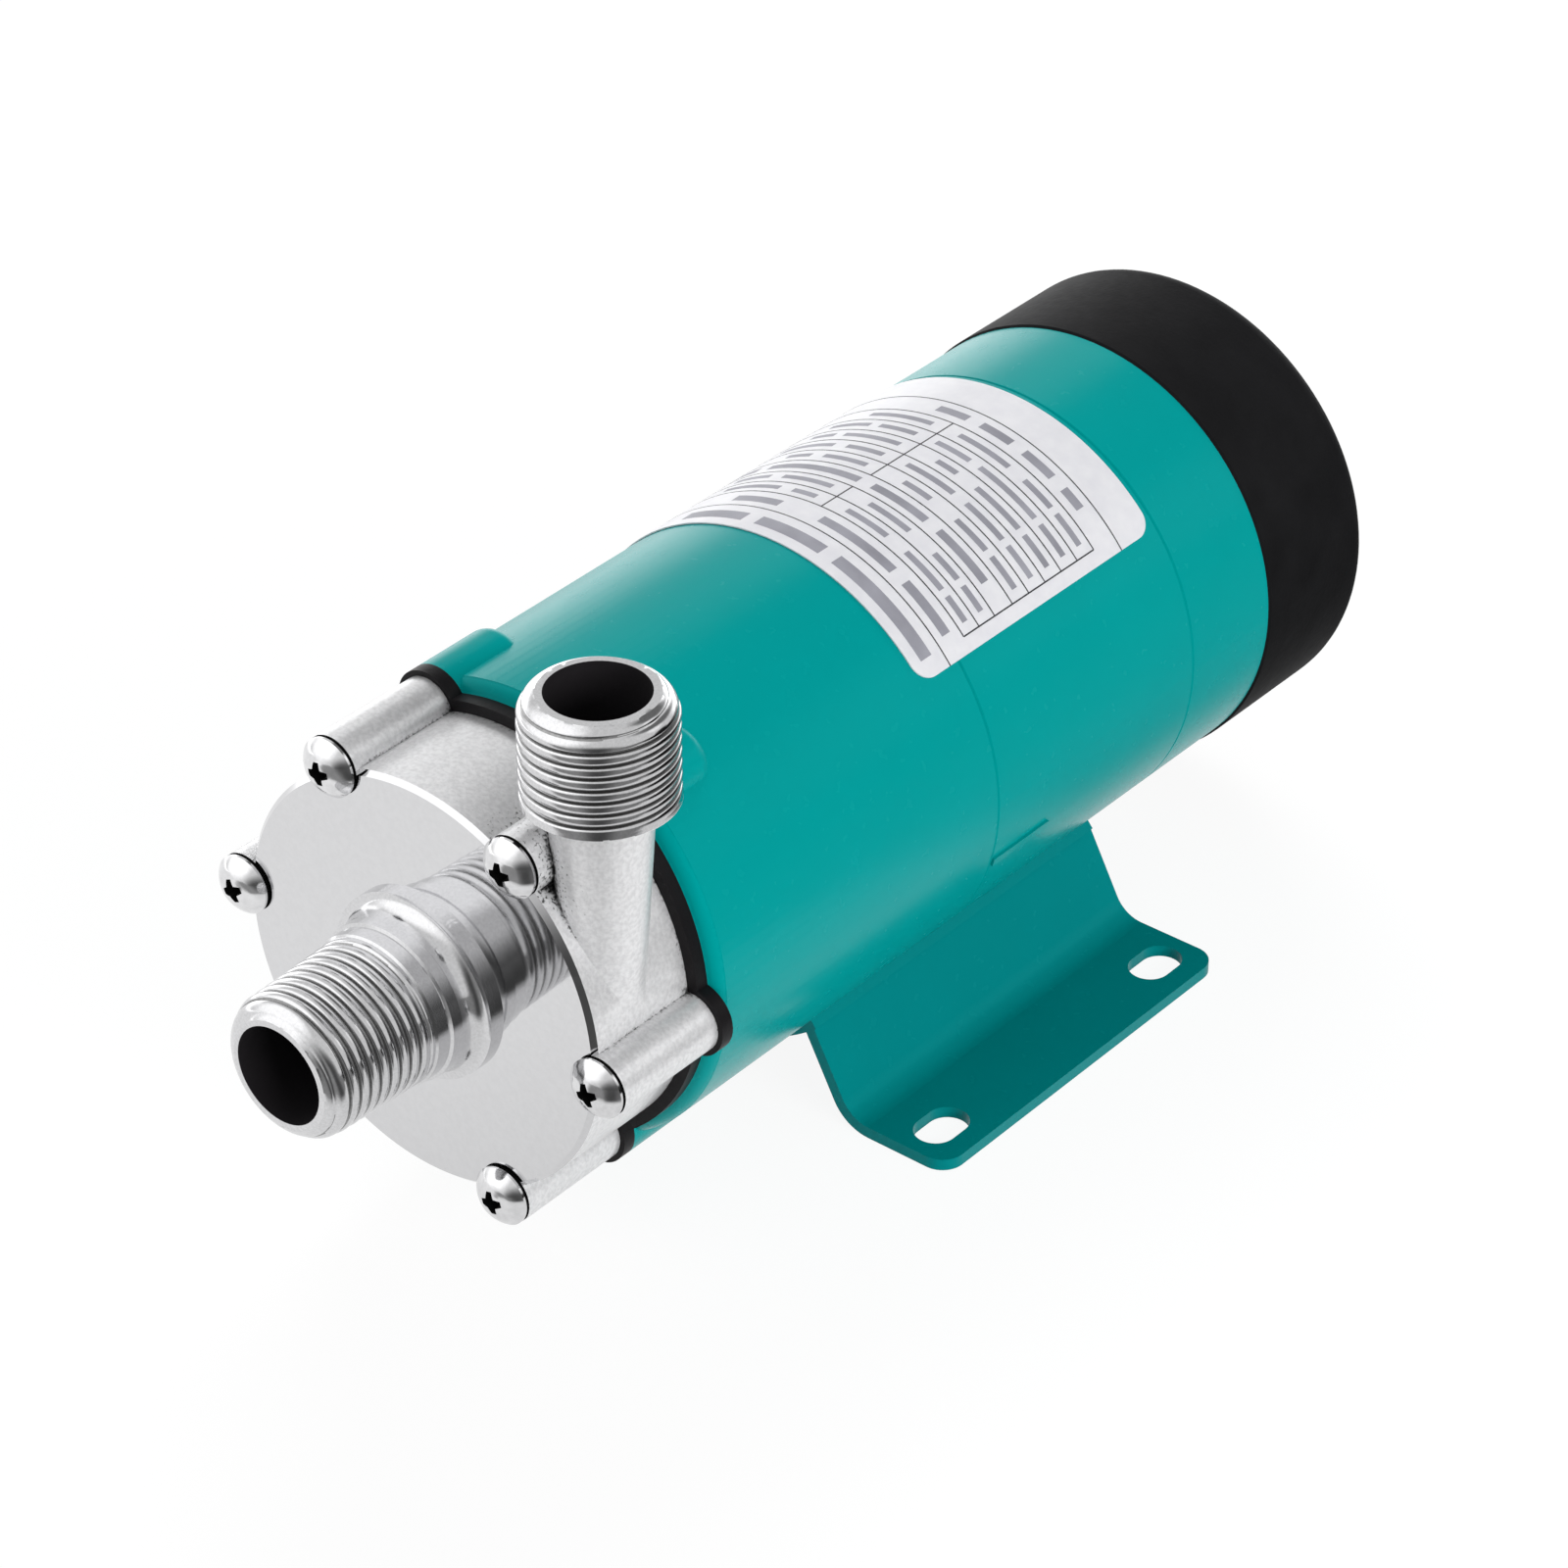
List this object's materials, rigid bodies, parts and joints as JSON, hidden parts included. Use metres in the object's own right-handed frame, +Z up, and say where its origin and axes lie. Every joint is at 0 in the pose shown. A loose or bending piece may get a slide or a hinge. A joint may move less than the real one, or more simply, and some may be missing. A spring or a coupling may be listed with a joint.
{
  "type": "magnetic drive pump",
  "caption": "Small centrifugal pump with a cast threaded head, a magnetically driven impeller, a round green motor, a black fan cover and a slotted sheet foot.",
  "frame": {"origin": "on the foot's underside, below the shaft and midway along the pump's length", "axes": "+Y from the inlet toward the motor's rear, +Z up along the outlet"},
  "size_m": [0.0926, 0.1956, 0.0934],
  "materials": {
    "cast_head": "cast stainless steel, machined face and threads",
    "head_screws": "polished stainless steel",
    "seal_rubber": "smooth",
    "grommet_rubber": "matt",
    "black_moulding": "fine moulded grain",
    "cover_moulding": "fine moulded grain",
    "ceramic": "ground",
    "impeller_moulding": "glass-filled moulding",
    "bush_carbon": "carbon-filled",
    "ferrite": "ground ferrite",
    "yoke_steel": "turned",
    "green_casing": "glossy enamel on aluminium",
    "green_foot": "glossy enamel on sheet steel",
    "shaft_steel": "ground",
    "lamination": "stacked laminations",
    "rotor_alloy": "die cast",
    "winding": "enamelled copper wire",
    "fan_moulding": "moulded",
    "bearing_steel": "ground",
    "zinc_steel": "zinc plated",
    "label_film": "silver film, no lettering"
  },
  "bodies": {
    "pump": {"pump_head": "cast_head", "head_screw_1": "head_screws", "head_screw_2": "head_screws", "head_screw_3": "head_screws", "head_screw_4": "head_screws", "head_screw_5": "head_screws", "head_screw_6": "head_screws", "casing_o_ring": "seal_rubber", "cable_grommet": "grommet_rubber", "rear_casing": "black_moulding", "fan_cover": "cover_moulding", "spindle": "ceramic", "front_thrust_ring": "ceramic", "rear_thrust_ring": "ceramic", "front_housing": "green_casing", "motor_shell": "green_casing", "rear_end_bell": "green_casing", "foot_bracket": "green_foot", "stator_core": "lamination", "stator_windings": "winding", "front_bearing_outer_ring": "bearing_steel", "rear_bearing_outer_ring": "bearing_steel", "tie_bolt_1": "zinc_steel", "tie_bolt_2": "zinc_steel", "tie_bolt_3": "zinc_steel", "tie_bolt_4": "zinc_steel", "fan_cover_screw_1": "zinc_steel", "fan_cover_screw_2": "zinc_steel", "fan_cover_screw_3": "zinc_steel", "foot_screw_1": "zinc_steel", "foot_screw_2": "zinc_steel", "rating_label": "label_film"},
    "rotor": {"motor_shaft": "shaft_steel", "drive_yoke": "yoke_steel", "yoke_set_screw": "yoke_steel", "rotor_core": "lamination", "front_rotor_end_ring": "rotor_alloy", "rear_rotor_end_ring": "rotor_alloy", "cooling_fan": "fan_moulding", "front_bearing_inner_ring": "bearing_steel", "front_bearing_balls": "bearing_steel", "rear_bearing_inner_ring": "bearing_steel", "rear_bearing_balls": "bearing_steel", "drive_magnet_1": "ferrite", "drive_magnet_2": "ferrite", "drive_magnet_3": "ferrite", "drive_magnet_4": "ferrite", "drive_magnet_5": "ferrite", "drive_magnet_6": "ferrite"},
    "wet_rotor": {"impeller": "impeller_moulding", "driven_magnet": "ferrite", "impeller_bush": "bush_carbon"}
  },
  "joints": [
    {"name": "rotor_spin", "type": "hinge", "parent": "pump", "child": "rotor", "pos_m": [0, 0, 0.042], "axis": [0, -1, 0], "continuous": true},
    {"name": "impeller_spin", "type": "hinge", "parent": "pump", "child": "wet_rotor", "pos_m": [0, -0.0529, 0.042], "axis": [0, -1, 0], "continuous": true}
  ],
  "couplings": [
    {"joint": "impeller_spin", "follows": "rotor_spin", "ratio": 1}
  ]
}
